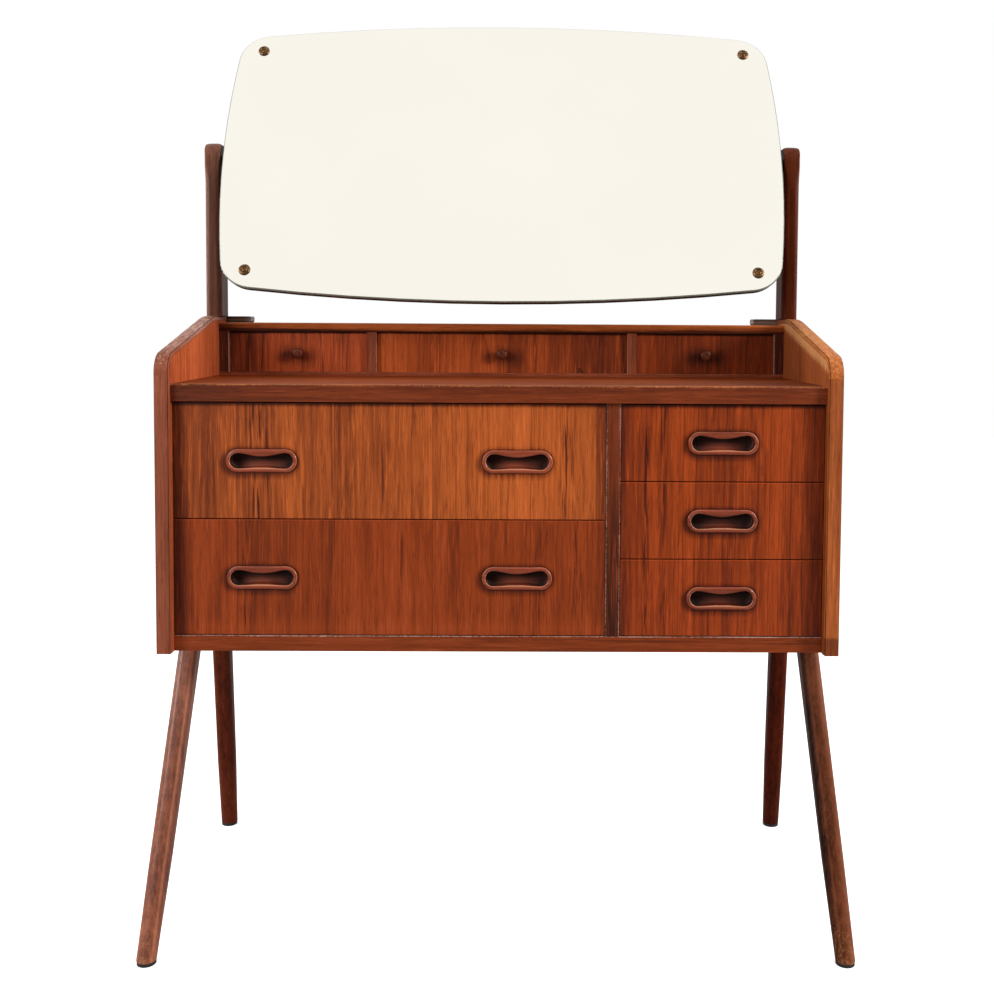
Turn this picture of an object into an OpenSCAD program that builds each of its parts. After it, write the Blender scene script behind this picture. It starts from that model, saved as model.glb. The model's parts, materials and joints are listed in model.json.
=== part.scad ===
// Dressing table in teak with eight drawers, a raised row of small drawers and a tilting mirror.
// X runs to the right, Y to the back and Z up, from the floor in the middle of the four feet.

/* [Case] */
// Width over the two sides
case_w = 940; // [860:1:1020]
// Depth from the front edge of the sides to the back
case_d = 395; // [380:1:430]
// How far the middle of the case lies behind the middle of the feet
case_shift = 2.5; // [-6:0.5:6]
// Thickness of the sides
side_t = 20; // [18:0.5:24]
// Height of the opening that holds the large drawers
opening_h = 326; // [300:1:350]
// Thickness of the table top
top_t = 24; // [20:0.5:28]
// Thickness of the bottom
bottom_t = 22; // [18:0.5:26]
// Thickness of the upright between the two stacks of drawers
partition_t = 20; // [16:0.5:24]
// Width of the bay for the wide drawers
wide_bay_w = 597.5; // [540:0.5:640]
// Thickness of the back panel
back_t = 5; // [4:0.5:8]
// How far the drawers and the bottom stand behind the front of the sides
front_recess = 17; // [14:0.5:24]
// How far the table top stands behind the front of the sides
top_recess = 9.5; // [6:0.5:12]
// Depth of the solid strips that edge the boards
strip_t = 7; // [5:0.5:10]
// Rounding of the table top's front edge
top_nose_r = 3; // [1:0.5:5]

/* [Sides] */
// How far the front corner of a side would stand over the table top, if it were sharp
horn_h = 38.5; // [34:0.5:44]
// How far a side stands over the row of small drawers at the back
side_proud = 10; // [9:0.5:14]
// Length of the sloping edge, measured along the depth
slope_run = 243; // [200:1:245]
// Radius of the round at the front of the slope
horn_r = 30; // [20:1:40]
// Radius of the round at the back of the slope
heel_r = 190; // [120:5:200]
// Chamfer along the edges of a side
arris = 1.5; // [0.5:0.25:2.5]

/* [Row of small drawers] */
// Distance from the front of the sides to the front of the row
row_front = 269; // [255:1:272]
// Thickness of the thin board under the small drawers
row_base_t = 5; // [4:0.5:8]
// Height of the opening that holds the small drawers
row_open_h = 64.5; // [55:0.5:75]
// Thickness of the board over the small drawers
row_top_t = 14; // [12:0.5:18]
// Thickness of the uprights between the small drawers
upright_t = 15; // [12:0.5:18]
// Width of the bay for the middle drawer
middle_bay_w = 400; // [340:1:440]
// How far the small drawers stand behind the front of the row
row_reveal = 6; // [3:0.5:8]
// Rounding of the top board's front edge
row_nose_r = 4; // [2:0.5:6]

/* [Large drawers] */
// Thickness of the drawer fronts
front_t = 18; // [16:0.5:22]
// Gap over, under and between the drawer fronts
front_gap = 1.5; // [1:0.25:3]
// Gap at each end of a drawer front
end_gap = 0.8; // [0.5:0.1:1.5]
// Thickness of the drawer sides and backs
box_t = 12; // [11:0.5:14]
// Height of the sides of a wide drawer
wide_box_h = 125; // [100:1:135]
// Height of the sides of a narrow drawer
narrow_box_h = 80; // [60:1:85]
// Height of a box's lower edge over the lower edge of its front
box_foot = 10; // [6:0.5:12]
// Free depth between a box and the back panel
box_rear_gap = 20; // [10:1:40]
// Gap between a box and the wall of its bay
box_gap = 1; // [0.8:0.1:1.5]
// Thickness of the drawer bottoms
drawer_bottom_t = 4; // [3:0.5:5]
// Depth of the grooves that hold the drawer bottoms
groove_d = 4; // [3:0.5:5]
// Height of a drawer bottom over the lower edge of its box
bottom_lift = 8; // [6:0.5:12]

/* [Runners] */
// How far a runner stands out from the wall of its bay
runner_w = 7.5; // [5:0.25:8]
// Height of a runner
runner_h = 15; // [12:0.5:18]
// Clearance over and under a runner in its groove
runner_fit = 0.4; // [0.3:0.05:0.6]
// Distance from the back of a drawer front to the front end of its runners
runner_setback = 12; // [6:1:30]

/* [Small drawers] */
// Thickness of the small fronts
small_front_t = 12; // [10:0.5:15]
// Thickness of the small boxes' walls
small_box_t = 7; // [6:0.5:9]
// Gap round a small drawer in its bay
small_gap = 0.7; // [0.5:0.1:1.2]
// Gap between a small drawer and the board that it slides on
small_slide = 0.3; // [0.3:0.05:0.5]
// Height of a small box
small_box_h = 50; // [40:1:52]
// Thickness of a small box's bottom
small_bottom_t = 4; // [3:0.5:6]
// Free depth between a small box and the back panel
small_rear_gap = 6; // [4:1:20]

/* [Pulls] */
// Length of a pull
pull_w = 98; // [90:1:108]
// Height of a pull
pull_h = 32.5; // [30:0.5:36]
// How far the rim stands out from the drawer front
pull_proud = 4.5; // [4.25:0.25:6]
// Rounding of the rim's outer edge
rim_r = 4; // [2:0.25:4]
// How far the rim laps over the drawer front
rim_lap = 2; // [1:0.25:3]
// Length of the mouth
mouth_w = 86; // [80:0.5:88]
// Height of the mouth at its round ends
mouth_h = 19.2; // [17:0.2:20]
// How far the middle of the mouth lies over the middle of the pull
mouth_lift = 0.8; // [0:0.1:1]
// How far the upper lip dips at the middle of the mouth
lip_dip = 4; // [2:0.25:5]
// How far the lower lip rises at the middle of the mouth
sill_rise = 1; // [0.5:0.25:3]
// Depth of the lips behind the plane of the drawer front
lip_t = 1; // [0.5:0.25:2]
// Extra width and height of the hollow behind the lips
hollow_extra = 2; // [1:0.25:3]
// Depth of the hollow behind the plane of the drawer front
hollow_d = 14; // [11:0.5:14.5]
// Distance between the two pulls of a wide drawer
pull_spread = 352; // [300:1:400]
// Gap between a pull and its hole in the drawer front
pull_fit = 0.1; // [0.05:0.05:0.2]

/* [Knobs] */
// Diameter of a knob
knob_d = 17; // [15:0.5:20]
// Length of a knob
knob_l = 15; // [13:0.5:20]
// Thickness of a knob's head
knob_head = 8; // [6:0.5:8]
// Diameter of a knob's neck
knob_neck_d = 8; // [6:0.5:9]
// How far a knob sits under the middle of its drawer front
knob_drop = 2; // [0:0.5:6]

/* [Legs] */
// Width of a leg at its top
leg_w = 27.5; // [22:0.5:30]
// Depth of a leg at its top
leg_d = 37; // [30:0.5:42]
// Rounding of a leg's edges at its top
leg_edge_r = 9; // [4:0.5:10]
// Diameter of a leg at its foot
foot_d = 27; // [22:0.5:30]
// How much wider a leg's calf is than its straight taper
calf_w = 2.5; // [0:0.5:4]
// Share of a leg's height at which its calf lies
calf_place = 0.3; // [0.2:0.05:0.6]
// Height of the case's underside over the floor
leg_h = 422; // [380:1:450]
// Distance from the front of the sides to the middle of a front leg's top
front_leg_in = 130; // [115:1:140]
// Distance from the front of the sides to the middle of a rear leg's top
rear_leg_in = 291; // [280:1:300]
// Distance between the middles of the front and rear feet
feet_y = 435; // [400:1:450]
// How far a front foot stands outside the top of its leg
front_splay = 24; // [10:1:30]
// How far a rear foot stands outside the top of its leg
rear_splay = 19; // [10:1:30]
// Thickness of the rail between the two legs of a side
rail_t = 18; // [14:0.5:20]
// Height of the rail between the two legs of a side
rail_h = 30; // [24:1:34]
// Gap between a rail and its legs, for the glue
rail_fit = 0.1; // [0.05:0.05:0.3]
// Diameter of the glides under the feet
glide_d = 26; // [16:0.5:28]
// Height of the glides under the feet
glide_h = 5; // [2:0.5:8]

/* [Mirror posts] */
// Width of a post
post_w = 25; // [21:0.5:28]
// How far a post stands out past the outside of its side
post_out = 2; // [0:0.5:4]
// Depth of a post
post_d = 46; // [40:1:52]
// Distance from the front of the sides to the front of a post
post_in = 272; // [268:1:280]
// Height of a post over the side that it stands on
post_h = 275.2; // [255:0.1:290]
// Rounding of a post's front edges
post_edge_r = 8; // [4:0.5:9]
// Rounding of the edges of a post's head and of its rear edges
head_edge_r = 3; // [1:0.5:4]
// Height of a post's head
head_h = 34; // [28:1:40]
// Length over which the head runs out into the post
runout = 26; // [15:1:40]
// Rounding of the head's top corners, seen from the front
head_corner_r = 6; // [4:0.5:10]
// Radius of the head's domed top, seen from the front
head_dome_r = 25; // [18:1:60]
// Distance from the top of a post to the mirror's pivot
pivot_in = 28.7; // [24:0.1:34]

/* [Post blocks] */
// Length of a block at the foot of a post, from the side
block_l = 39; // [25:1:55]
// Depth of a block at the foot of a post
block_d = 28; // [16:1:36]
// Rounding of a block's free end
block_end_r = 3; // [1:0.5:4]

/* [Mirror] */
// Gap between the mirror's widest part and the posts
mirror_gap = 4.5; // [4:0.25:20]
// Height of the mirror glass
mirror_h = 492.5; // [440:0.5:500]
// Thickness of the mirror glass
glass_t = 5; // [4:0.5:6]
// Thickness of the board behind the glass
backing_t = 10; // [8:0.5:12]
// How far the edge of the glass stands out past its board
glass_lap = 2; // [1:0.5:6]
// Radius of the mirror's top and bottom edges
edge_r = 3500; // [2500:50:5000]
// Radius of the mirror's side edges
flank_r = 1400; // [1000:50:2500]
// Radius of the mirror's corners
corner_r = 52; // [40:1:80]
// How far the middle of the mirror hangs under its pivots
mirror_drop = 4.5; // [0:0.5:20]
// How far the mirror leans back from upright
mirror_tilt = 22; // [8:1:40]
// Distance from each side edge of the mirror to its screws
screw_in_x = 50.5; // [44:0.5:70]
// Distance from the top and bottom edges of the mirror to its screws
screw_in_y = 50.5; // [42:0.5:70]
// Diameter of the cup washers on the mirror
rosette_d = 18.5; // [15:0.5:22]
// Height of the cup washers on the mirror
rosette_h = 3.5; // [2.5:0.25:4]
// Diameter of the mirror screws
screw_d = 4; // [3.5:0.25:5]

/* [Pivots] */
// Width of the battens on the back of the mirror
batten_w = 34; // [28:1:44]
// Thickness of the battens on the back of the mirror
batten_t = 20; // [18:0.5:24]
// Length of the battens on the back of the mirror
batten_l = 300; // [200:5:320]
// How far the battens stand in from the widest part of the mirror
batten_in = 5; // [4:0.5:12]
// Diameter of the pivot bolts
bolt_d = 8; // [6:0.5:9]
// Depth of a pivot bolt in its post
bolt_post_l = 14; // [10:0.5:18]
// Depth of a pivot bolt in its batten
bolt_batten_l = 26; // [20:0.5:27]
// Clearance round a pivot bolt
bolt_fit = 0.05; // [0.02:0.01:0.08]
// Diameter of the spacers on the pivot bolts
spacer_d = 19; // [16:0.5:20]
// Gap between a spacer and its batten
spacer_gap = 0.3; // [0.3:0.05:0.6]

/* [Hidden] */
$fn = 48;
arc_steps = 10;
eps = 1;

case_y = case_shift - case_d / 2;
back_y = case_y + case_d;
panel_y = back_y - back_t;
half_w = case_w / 2;
inner_x = half_w - side_t;

bay_floor_z = leg_h + bottom_t;
bay_ceiling_z = bay_floor_z + opening_h;
table_z = bay_ceiling_z + top_t;
partition_x0 = wide_bay_w - inner_x;
partition_x1 = partition_x0 + partition_t;

row_y = case_y + row_front;
row_floor_z = table_z + row_base_t;
row_ceiling_z = row_floor_z + row_open_h;
row_z = row_ceiling_z + row_top_t;
side_z = row_z + side_proud;
horn_z = table_z + horn_h;
slope = atan((side_z - horn_z) / slope_run);

front_y = case_y + front_recess;
box_y = front_y + front_t;
box_back_y = panel_y - box_rear_gap;
runner_y = box_y + runner_setback;

small_front_y = row_y + row_reveal;
small_box_y = small_front_y + small_front_t;
small_back_y = panel_y - small_rear_gap;
small_z = row_floor_z + small_slide;
small_front_h = row_open_h - small_slide - small_gap;
middle_x = middle_bay_w / 2;

leg_x = half_w - leg_w / 2;
front_foot_x = leg_x + front_splay;
rear_foot_x = leg_x + rear_splay;

post_y = case_y + post_in + post_d / 2;
post_x = half_w + post_out - post_w / 2;
post_inner_x = half_w + post_out - post_w;
post_top_z = side_z + post_h;
pivot_z = post_top_z - pivot_in;

mirror_w = 2 * (post_inner_x - mirror_gap);
batten_x = mirror_w / 2 - batten_in;
glass_y = -glass_t - backing_t - batten_t / 2;
backing_y = glass_y + glass_t;
batten_y = backing_y + backing_t;

teak = "#8a4a26";
teak_dark = "#5c2f1a";
teak_solid = "#7a3f22";
beech = "#c9a878";
plywood = "#b58a5c";
steel = "#3a3a3c";
bronze = "#6b4a2c";
silvering = "#dfe6e4";
rubber = "#202020";

// Points along an arc, without its last one
function arc(centre, r, from, to) = [
    for (k = [0 : arc_steps - 1])
        let (a = from + (to - from) * k / arc_steps)
        centre + r * [cos(a), sin(a)]
];

// Point at distance r1 from p and r2 from q, on the left of the way from p to q
function meet(p, q, r1, r2) =
    let (
        d = norm(q - p),
        a = (r1 * r1 - r2 * r2 + d * d) / (2 * d),
        h = sqrt(r1 * r1 - a * a),
        u = (q - p) / d
    )
    p + a * u + h * [-u[1], u[0]];

// A board between its lowest and its highest corner
module board(low, high) {
    translate(low) cube(high - low);
}

// A flat outline in X and Z, made solid between two values of Y
module facing(y0, y1) {
    translate([0, y1, 0]) rotate([90, 0, 0]) linear_extrude(y1 - y0) children();
}

// A flat outline in Y and Z, made solid between two values of X
module crossing(x0, x1) {
    translate([x0, 0, 0]) rotate([90, 0, 90]) linear_extrude(x1 - x0) children();
}

// A rectangle about the origin with true round corners
module rounded(w, h, r) {
    square([w - 2 * r, h], center = true);
    square([w, h - 2 * r], center = true);
    for (x = [-1, 1], y = [-1, 1])
        translate([x * (w / 2 - r), y * (h / 2 - r)]) circle(r = r);
}

// A bar with half-round ends, lying along X about the origin
module stadium(w, h) {
    square([w - h, h], center = true);
    for (x = [-1, 1]) translate([x * (w - h) / 2, 0]) circle(d = h);
}

// Copies its children on the right and, mirrored, on the left
module both_sides() {
    children();
    mirror([1, 0, 0]) children();
}

// Outline of a side in Y and Z, drawn in by an inset along its front, its slope and its top
module side_outline(inset = 0) {
    horn = [case_y + horn_r, horn_z - horn_r * (1 - sin(slope)) / cos(slope)];
    heel = [
        case_y + slope_run + heel_r * (1 - cos(slope)) / sin(slope),
        side_z - heel_r
    ];
    polygon(concat(
        [[back_y, leg_h], [case_y + inset, leg_h]],
        arc(horn, horn_r - inset, 180, 90 + slope),
        arc(heel, heel_r - inset, 90 + slope, 90),
        [[heel[0], side_z - inset], [back_y, side_z - inset]]
    ));
}

// The veneered board of a side, inside its solid edging
module side_board() {
    color(teak) crossing(inner_x, half_w) side_outline(strip_t);
}

// The solid edging along the front, slope and top of a side, with chamfered edges
module side_edging() {
    color(teak_solid) difference() {
        hull() {
            crossing(inner_x + arris, half_w - arris) side_outline();
            crossing(inner_x, half_w) side_outline(arris);
        }
        crossing(inner_x - eps, half_w + eps) side_outline(strip_t);
        board(
            [inner_x - eps, case_y + strip_t, leg_h - eps],
            [half_w + eps, back_y + eps, horn_z - horn_r]
        );
    }
}

module side_left() {
    mirror([1, 0, 0]) side_board();
}

module side_right() {
    side_board();
}

module side_edging_left() {
    mirror([1, 0, 0]) side_edging();
}

module side_edging_right() {
    side_edging();
}

module table_top() {
    color(teak)
        board([-inner_x, case_y + top_recess + strip_t, bay_ceiling_z], [inner_x, panel_y, table_z]);
}

// The solid strip on the table top's front, with a rounded upper edge
module table_top_edging() {
    y0 = case_y + top_recess;
    color(teak_dark) crossing(-inner_x, inner_x) {
        translate([y0, bay_ceiling_z]) square([strip_t, top_t - top_nose_r]);
        translate([y0 + top_nose_r, bay_ceiling_z]) square([strip_t - top_nose_r, top_t]);
        translate([y0 + top_nose_r, table_z - top_nose_r]) circle(r = top_nose_r);
    }
}

module bottom_board() {
    color(teak) board([-inner_x, front_y + strip_t, leg_h], [inner_x, panel_y, bay_floor_z]);
}

module bottom_edging() {
    color(teak_solid) board([-inner_x, front_y, leg_h], [inner_x, front_y + strip_t, bay_floor_z]);
}

module partition() {
    color(teak)
        board([partition_x0, front_y + strip_t, bay_floor_z], [partition_x1, panel_y, bay_ceiling_z]);
}

module partition_edging() {
    color(teak_dark)
        board([partition_x0, front_y, bay_floor_z], [partition_x1, front_y + strip_t, bay_ceiling_z]);
}

module back_panel() {
    color(plywood) board([-inner_x, panel_y, leg_h], [inner_x, back_y, row_ceiling_z]);
}

// The board over the small drawers, with a rounded upper front edge
module row_top_board() {
    color(teak_solid) crossing(-inner_x, inner_x) {
        translate([row_y, row_ceiling_z]) square([back_y - row_y, row_top_t - row_nose_r]);
        translate([row_y + row_nose_r, row_ceiling_z]) square([back_y - row_y - row_nose_r, row_top_t]);
        translate([row_y + row_nose_r, row_z - row_nose_r]) circle(r = row_nose_r);
    }
}

module row_base_board() {
    color(teak_solid) board([-inner_x, row_y, table_z], [inner_x, panel_y, row_floor_z]);
}

// The two ends and the two dividers of the row of small drawers
module row_uprights() {
    color(teak_dark) both_sides() {
        board([inner_x - upright_t, row_y, row_floor_z], [inner_x, panel_y, row_ceiling_z]);
        board([middle_x, row_y, row_floor_z], [middle_x + upright_t, panel_y, row_ceiling_z]);
    }
}

// Height of a drawer front where a bay holds a number of drawers
function front_h(count) = (opening_h - (count + 1) * front_gap) / count;

// Lower edge of a drawer front, counted from the lowest drawer as 0
function front_z(count, place) = bay_floor_z + front_gap + place * (front_h(count) + front_gap);

// Middle of a drawer front
function middle_z(count, place) = front_z(count, place) + front_h(count) / 2;

// Lower edge and height of a drawer's box
function box_z(count, place) = front_z(count, place) + box_foot;
function box_h(count) = count == 2 ? wide_box_h : narrow_box_h;

// Middle of the runners of a drawer
function runner_z(count, place) = box_z(count, place) + box_h(count) / 2;

// Left and right wall of a bay: the wide one holds two drawers, the narrow one three
function bay_x(count) = count == 2 ? [-inner_x, partition_x0] : [partition_x1, inner_x];
function bay_middle(count) = (bay_x(count)[0] + bay_x(count)[1]) / 2;

// Places of the pulls along X
function pull_places(count) =
    count == 2 ? [for (s = [-1, 1]) bay_middle(count) + s * pull_spread / 2] : [bay_middle(count)];

// A pair of hardwood runners for each drawer of the two bays
module drawer_runners() {
    color(beech) for (count = [2, 3], place = [0 : count - 1]) {
        x = bay_x(count);
        z = runner_z(count, place);
        board([x[0], runner_y, z - runner_h / 2], [x[0] + runner_w, box_back_y, z + runner_h / 2]);
        board([x[1] - runner_w, runner_y, z - runner_h / 2], [x[1], box_back_y, z + runner_h / 2]);
    }
}

// A drawer front with the holes of its pulls and the groove of its bottom
module drawer_front(count, place) {
    x = bay_x(count);
    z = front_z(count, place);
    groove_z = box_z(count, place) + bottom_lift;
    color(teak) difference() {
        board([x[0] + end_gap, front_y, z], [x[1] - end_gap, box_y, z + front_h(count)]);
        for (px = pull_places(count))
            translate([px, 0, middle_z(count, place)])
                facing(front_y - eps, box_y + eps)
                    stadium(pull_w - 2 * rim_lap + 2 * pull_fit, pull_h - 2 * rim_lap + 2 * pull_fit);
        board(
            [x[0] + box_gap + box_t - groove_d, box_y - groove_d, groove_z],
            [x[1] - box_gap - box_t + groove_d, box_y + eps, groove_z + drawer_bottom_t]
        );
    }
}

// The sides and back of a drawer, grooved outside for the runners and inside for the bottom
module drawer_box(count, place) {
    x0 = bay_x(count)[0] + box_gap;
    x1 = bay_x(count)[1] - box_gap;
    z0 = box_z(count, place);
    z1 = z0 + box_h(count);
    slot_y = runner_y - 1;
    slot_z0 = runner_z(count, place) - runner_h / 2 - runner_fit;
    slot_z1 = runner_z(count, place) + runner_h / 2 + runner_fit;
    groove_z = z0 + bottom_lift;
    color(beech) difference() {
        board([x0, box_y, z0], [x1, box_back_y, z1]);
        board([x0 + box_t, box_y - eps, z0 - eps], [x1 - box_t, box_back_y - box_t, z1 + eps]);
        board([x0 - eps, slot_y, slot_z0], [x0 + runner_w, box_back_y + eps, slot_z1]);
        board([x1 - runner_w, slot_y, slot_z0], [x1 + eps, box_back_y + eps, slot_z1]);
        board(
            [x0 + box_t - groove_d, box_y - eps, groove_z],
            [x1 - box_t + groove_d, box_back_y - box_t + groove_d, groove_z + drawer_bottom_t]
        );
    }
}

// The thin bottom that sits in the grooves of a drawer
module drawer_bottom(count, place) {
    x0 = bay_x(count)[0] + box_gap + box_t - groove_d;
    x1 = bay_x(count)[1] - box_gap - box_t + groove_d;
    z = box_z(count, place) + bottom_lift;
    color(plywood)
        board([x0, box_y - groove_d, z], [x1, box_back_y - box_t + groove_d, z + drawer_bottom_t]);
}

// Half of a section through the rim of a pull
module rim_section() {
    r = pull_h / 2;
    square([r - rim_r, pull_proud]);
    square([r, pull_proud - rim_r]);
    translate([r - rim_r, pull_proud - rim_r]) intersection() {
        circle(r = rim_r);
        square(rim_r);
    }
}

// The raised stadium of a pull, standing out to the front from the plane Y = 0
module rim() {
    span = pull_w - pull_h;
    both_sides() translate([span / 2, 0, 0]) rotate([90, 0, 0]) rotate([0, 0, -90])
        rotate_extrude(angle = 180) rim_section();
    rotate([90, 0, 0]) translate([-span / 2, 0, 0]) rotate([90, 0, 90]) linear_extrude(span) {
        rim_section();
        mirror([1, 0]) rim_section();
    }
}

// The mouth of a pull: two round ends joined by a waist, whose edges are arcs tangent to them
module mouth() {
    r = mouth_h / 2;
    c = mouth_w / 2 - r;
    function waist_r(dip) = (c * c + pow(r - dip, 2) - r * r) / (2 * dip);
    function touch(dip) = [c * waist_r(dip), r * (waist_r(dip) + r - dip)] / (waist_r(dip) + r);
    top = touch(lip_dip);
    low = touch(sill_rise);
    for (x = [-1, 1]) translate([x * c, 0]) circle(r = r);
    difference() {
        polygon([[-top[0], top[1]], top, [low[0], -low[1]], -low]);
        translate([0, waist_r(lip_dip) + r - lip_dip]) circle(r = waist_r(lip_dip));
        translate([0, sill_rise - waist_r(sill_rise) - r]) circle(r = waist_r(sill_rise));
    }
}

// A carved pull let into a drawer front, hollow behind its lips
module pull() {
    color(teak_solid) translate([0, front_y, 0]) difference() {
        union() {
            rim();
            facing(0, front_t) stadium(pull_w - 2 * rim_lap, pull_h - 2 * rim_lap);
        }
        translate([0, 0, mouth_lift]) {
            facing(-pull_proud - eps, lip_t + eps) mouth();
            facing(lip_t, hollow_d) stadium(mouth_w + hollow_extra, mouth_h + hollow_extra);
        }
    }
}

// The pulls of a drawer
module pulls(count, place) {
    for (px = pull_places(count)) translate([px, 0, middle_z(count, place)]) pull();
}

// Left and right wall of a small bay: -1 is the left one, 0 the middle one and 1 the right one
function small_bay(place) =
    place == 0 ? [-middle_x, middle_x]
    : place < 0 ? [upright_t - inner_x, -middle_x - upright_t]
    : [middle_x + upright_t, inner_x - upright_t];
function small_middle(place) = (small_bay(place)[0] + small_bay(place)[1]) / 2;

module small_front(place) {
    x = small_bay(place);
    color(teak)
        board(
            [x[0] + small_gap, small_front_y, small_z],
            [x[1] - small_gap, small_box_y, small_z + small_front_h]
        );
}

// A small drawer's open box, with its bottom
module small_box(place) {
    x0 = small_bay(place)[0] + small_gap;
    x1 = small_bay(place)[1] - small_gap;
    color(beech) difference() {
        board([x0, small_box_y, small_z], [x1, small_back_y, small_z + small_box_h]);
        board(
            [x0 + small_box_t, small_box_y + small_box_t, small_z + small_bottom_t],
            [x1 - small_box_t, small_back_y - small_box_t, small_z + small_box_h + eps]
        );
    }
}

// A turned knob with a round-edged head on a short neck
module knob() {
    r = knob_d / 2;
    q = knob_head / 2;
    color(teak_solid) rotate([90, 0, 0]) rotate_extrude() {
        square([knob_neck_d / 2, knob_l - q]);
        translate([0, knob_l - knob_head]) square([r - q, knob_head]);
        translate([r - q, knob_l - q]) circle(r = q);
    }
}

module small_knob(place) {
    translate([small_middle(place), small_front_y, small_z + small_front_h / 2 - knob_drop]) knob();
}

// A leg from its edge-rounded top under the case, over a slight calf, to its round foot
module leg(top_y, foot_x, foot_y) {
    calf_x = foot_x + (leg_x - foot_x) * calf_place;
    calf_y = foot_y + (top_y - foot_y) * calf_place;
    calf_d = foot_d + (leg_d - foot_d) * calf_place - eps;
    calf_r = foot_d / 2 + (leg_edge_r - foot_d / 2) * calf_place;
    color(teak_solid) hull() {
        translate([leg_x, top_y, leg_h - eps]) linear_extrude(eps) rounded(leg_w, leg_d, leg_edge_r);
        translate([calf_x, calf_y, leg_h * calf_place]) linear_extrude(eps)
            rounded(foot_d + (leg_w - foot_d) * calf_place + calf_w, calf_d, calf_r);
        translate([foot_x, foot_y, glide_h]) cylinder(d = foot_d, h = eps, $fn = 32);
    }
}

module leg_front_right() {
    leg(case_y + front_leg_in, front_foot_x, -feet_y / 2);
}

module leg_front_left() {
    mirror([1, 0, 0]) leg_front_right();
}

module leg_rear_right() {
    leg(case_y + rear_leg_in, rear_foot_x, feet_y / 2);
}

module leg_rear_left() {
    mirror([1, 0, 0]) leg_rear_right();
}

// The rails under the case, cut at the slant of the legs that they join
module leg_rails() {
    low_z = leg_h - rail_h;
    fall = (rail_h - eps) / (leg_h - eps - glide_h);
    front_top = case_y + front_leg_in + leg_d / 2;
    rear_top = case_y + rear_leg_in - leg_d / 2;
    front_foot = (foot_d - feet_y) / 2;
    rear_foot = (feet_y - foot_d) / 2;
    front_low = front_top + (front_foot - front_top) * fall;
    rear_low = rear_top + (rear_foot - rear_top) * fall;
    front = [[front_top, leg_h], [front_top, leg_h - eps], [front_low, low_z]];
    rear = [[rear_low, low_z], [rear_top, leg_h - eps], [rear_top, leg_h]];
    color(teak_solid) both_sides() crossing(leg_x - rail_t / 2, leg_x + rail_t / 2)
        polygon([
            for (p = front) p + [rail_fit, 0],
            for (p = rear) p - [rail_fit, 0]
        ]);
}

module foot_glides() {
    color(rubber) both_sides() for (foot = [[front_foot_x, -feet_y / 2], [rear_foot_x, feet_y / 2]])
        translate(foot) cylinder(d = glide_d, h = glide_h);
}

// Section of a post under its head: round-edged at the front, nearly square at the back
module post_section() {
    rounded(post_w, post_d, post_edge_r);
    translate([0, post_d / 4]) rounded(post_w, post_d / 2, head_edge_r);
}

// A mirror post: round-edged below, square-edged and domed at its head, bored for its pivot
module post() {
    head_z = post_top_z - head_h;
    color(teak_dark) difference() {
        intersection() {
            translate([post_x, post_y, 0]) union() {
                translate([0, 0, side_z]) linear_extrude(post_h - head_h - runout) post_section();
                hull() {
                    translate([0, 0, head_z - runout - eps / 2]) linear_extrude(eps / 2)
                        post_section($fn = 32);
                    translate([0, 0, head_z]) linear_extrude(eps / 2)
                        rounded(post_w, post_d, head_edge_r, $fn = 32);
                }
                translate([0, 0, head_z]) linear_extrude(head_h) rounded(post_w, post_d, head_edge_r);
            }
            crossing(post_inner_x - eps, half_w + post_out + eps) {
                translate([post_y, post_top_z - post_d / 2]) circle(d = post_d);
                translate([post_y - post_d / 2, side_z]) square([post_d, post_h - post_d / 2]);
            }
            facing(post_y - post_d, post_y + post_d) intersection() {
                union() {
                    translate([post_x, post_top_z - post_h / 2]) rounded(post_w, post_h, head_corner_r);
                    translate([post_inner_x, side_z]) square([post_w, post_h / 2]);
                }
                union() {
                    translate([post_x, post_top_z - head_dome_r]) circle(r = head_dome_r);
                    translate([post_inner_x, side_z]) square([post_w, post_h - head_dome_r]);
                }
            }
        }
        translate([post_inner_x - eps, post_y, pivot_z]) rotate([0, 90, 0])
            cylinder(r = bolt_d / 2 + bolt_fit, h = bolt_post_l + eps);
    }
}

module post_right() {
    post();
}

module post_left() {
    mirror([1, 0, 0]) post();
}

// The blocks behind the feet of the posts, level with the tops of the sides
module post_blocks() {
    x0 = inner_x - block_l;
    block_y = post_y + post_d / 2;
    r = block_end_r;
    color(teak_dark) both_sides() facing(block_y, block_y + block_d) {
        translate([x0, row_z + r]) square([block_l, side_proud - 2 * r]);
        translate([x0 + r, row_z]) square([block_l - r, side_proud]);
        for (z = [r, side_proud - r]) translate([x0 + r, row_z + z]) circle(r = r);
    }
}

// The pivot bolts, fixed in the posts and free in the battens
module pivot_bolts() {
    x0 = batten_x - bolt_batten_l;
    color(steel) both_sides() translate([x0, post_y, pivot_z]) rotate([0, 90, 0])
        cylinder(d = bolt_d, h = post_inner_x + bolt_post_l - x0);
}

// The spacers between the posts and the mirror
module pivot_spacers() {
    x0 = batten_x + spacer_gap;
    color(steel) both_sides() translate([x0, post_y, pivot_z]) rotate([0, 90, 0]) difference() {
        cylinder(d = spacer_d, h = post_inner_x - x0);
        translate([0, 0, -eps]) cylinder(r = bolt_d / 2 + bolt_fit, h = post_inner_x - x0 + 2 * eps);
    }
}

// Sets its children on the pivots, leaning back. Their own Z runs up the glass from the pivots
module on_pivots() {
    translate([0, post_y, pivot_z]) rotate([-mirror_tilt, 0, 0]) children();
}

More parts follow.
